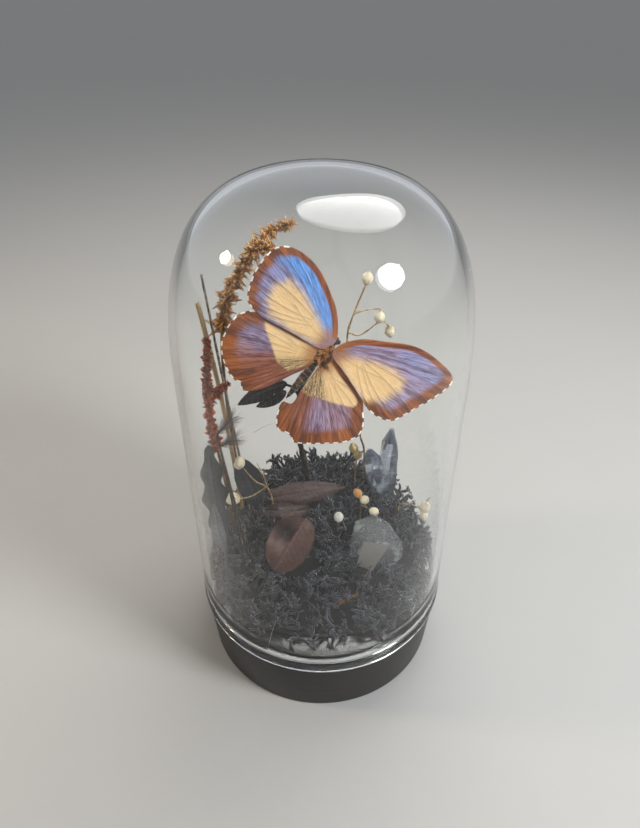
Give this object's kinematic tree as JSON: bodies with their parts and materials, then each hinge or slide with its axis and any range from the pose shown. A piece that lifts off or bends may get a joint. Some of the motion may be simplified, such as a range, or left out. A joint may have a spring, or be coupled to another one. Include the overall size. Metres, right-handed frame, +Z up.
{
  "type": "insect in glass dome",
  "caption": "A dried butterfly over black moss, dried flowers and quartz, under a clear glass dome on a round black base.",
  "frame": {"origin": "centre of the base's underside", "axes": "+Z up along the dome's axis, -Y towards the front that the picture shows"},
  "size_m": [0.1008, 0.1008, 0.194],
  "materials": {
    "black_wood": "satin black stain, soft sheen on the turned edges",
    "dome_glass": "polished clear blown glass with small seeds",
    "insect_hair": "fine dark brown hair with tan and pale bands",
    "wing_scales": "powdery scales, sky blue, lilac, cream and brown",
    "dark_twig": "dry dark bark",
    "golden_flower": "dry golden florets",
    "rust_flower": "dry rust-red florets",
    "pale_straw": "pale dry straw with fine ribs",
    "dry_plume": "dark feathery plume",
    "dark_leaf": "dark dried leaf",
    "dried_bud": "cream dried bud, finely lined",
    "quartz": "clear grey quartz with veils and fractures",
    "brown_leaf": "dark brown dried leaf, creased",
    "brown_twig": "dry brown bark",
    "black_moss": "matte black-blue reindeer moss"
  },
  "bodies": {
    "root": {"base": "black_wood", "glass_dome": "dome_glass", "butterfly_body": "insect_hair", "forewing_left": "wing_scales", "hindwing_left": "wing_scales", "forewing_right": "wing_scales", "hindwing_right": "wing_scales", "support_twig": "dark_twig", "twig_leaf_upper": "dark_twig", "twig_leaf_lower": "dark_twig", "flower_spike_golden": "golden_flower", "flower_spike_rust": "rust_flower", "straw": "pale_straw", "thin_stick": "pale_straw", "tuft_upper": "dry_plume", "tuft_lower": "dry_plume", "lobed_leaf": "dark_leaf", "grey_leaf": "dark_leaf", "black_leaf": "dark_leaf", "babys_breath_upper": "dried_bud", "babys_breath_left": "dried_bud", "babys_breath_middle": "dried_bud", "babys_breath_single": "dried_bud", "babys_breath_ochre": "dried_bud", "babys_breath_cluster": "dried_bud", "quartz_point": "quartz", "quartz_lump": "quartz", "pebbly_leaf": "brown_leaf", "crumpled_leaf": "brown_leaf", "cupped_leaf": "brown_leaf", "short_twig": "brown_twig", "moss_bed": "black_moss"}
  },
  "joints": []
}
